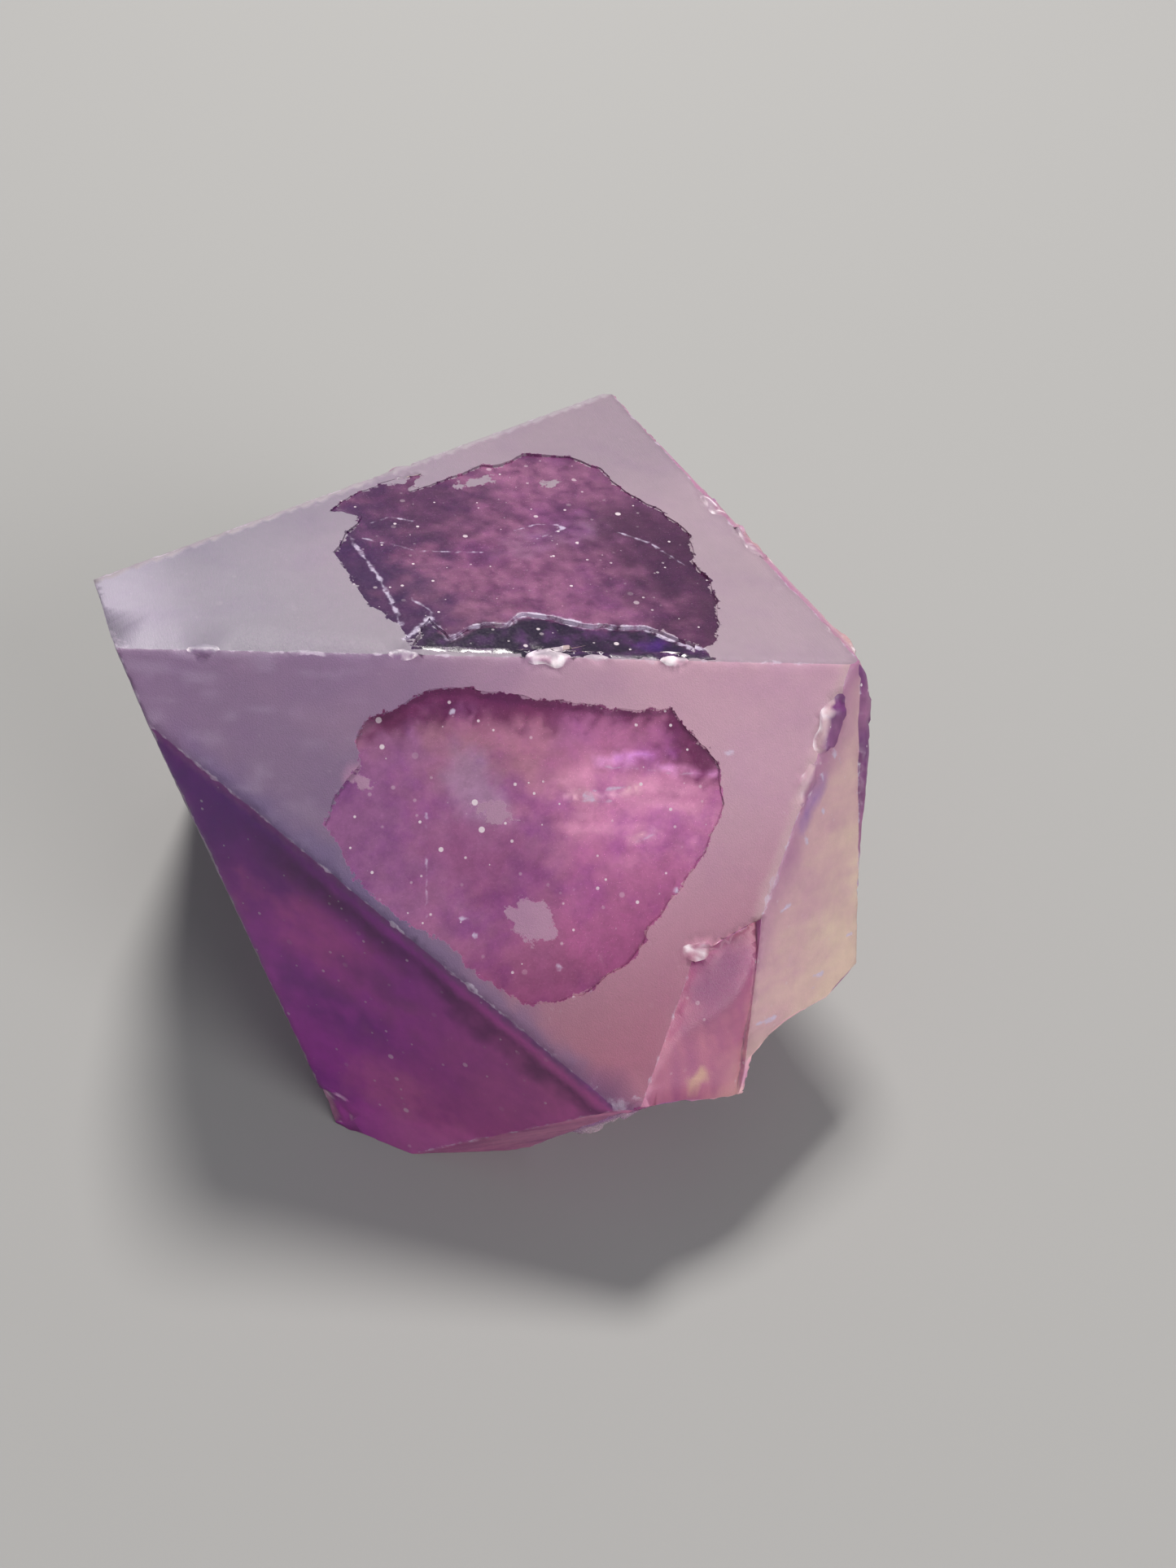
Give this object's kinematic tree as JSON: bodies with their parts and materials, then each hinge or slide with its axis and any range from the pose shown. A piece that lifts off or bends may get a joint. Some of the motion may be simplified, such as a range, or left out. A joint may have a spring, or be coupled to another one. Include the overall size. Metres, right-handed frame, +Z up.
{
  "type": "amethyst point",
  "caption": "Thick purple quartz crystal tip with ground flat faces, unpolished windows and a broken base, lying on its side.",
  "frame": {"origin": "on the surface that the crystal rests on, under the middle of its box", "axes": "+Z up, and the crystal's long axis lies in the XZ plane, with its tip towards -X and its broken base towards +X"},
  "size_m": [0.0534, 0.0784, 0.0385],
  "materials": {
    "amethyst": "see-through purple quartz, frosted where ground and glossy in the unpolished windows and on broken surfaces"
  },
  "bodies": {
    "root": {"amethyst_point": "amethyst"}
  },
  "joints": []
}
